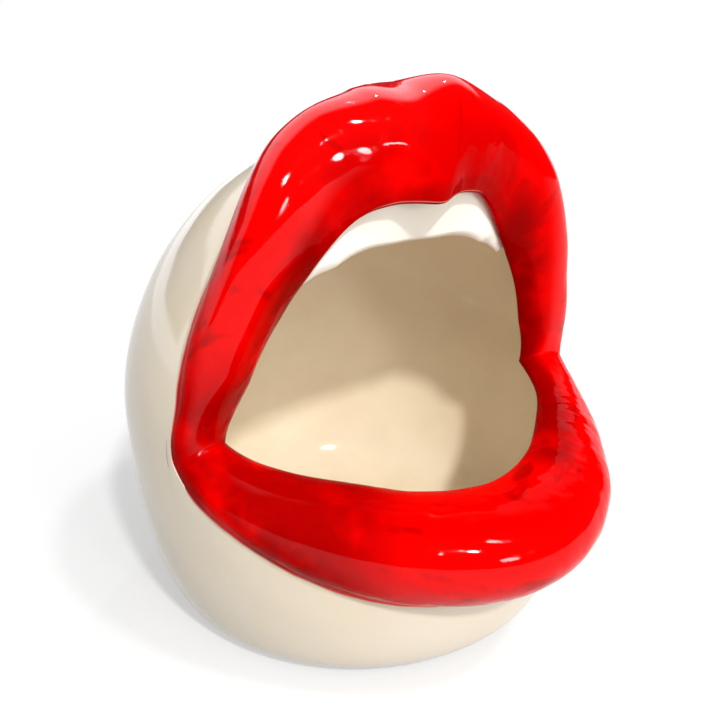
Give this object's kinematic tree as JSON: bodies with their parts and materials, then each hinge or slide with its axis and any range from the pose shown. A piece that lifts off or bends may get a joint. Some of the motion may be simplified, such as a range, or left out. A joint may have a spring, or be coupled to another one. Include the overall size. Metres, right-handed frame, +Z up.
{
  "type": "ceramic vessel",
  "caption": "Egg-shaped slip-cast ceramic vessel on a flat foot, with a large slanted opening rimmed by full rolled lips and a band of teeth, for holding a plant or small things.",
  "frame": {"origin": "centre of the flat foot, on the table", "axes": "+Z up, -Y forwards out of the mouth, +X across the mouth"},
  "size_m": [0.19, 0.2118, 0.211],
  "materials": {
    "cream_glaze": "glossy",
    "red_glaze": "glossy",
    "ivory_glaze": "glossy",
    "bare_clay": "matt"
  },
  "bodies": {
    "root": {"bowl": "cream_glaze", "foot": "bare_clay", "upper_lip": "red_glaze", "lower_lip": "red_glaze", "teeth": "ivory_glaze"}
  },
  "joints": []
}
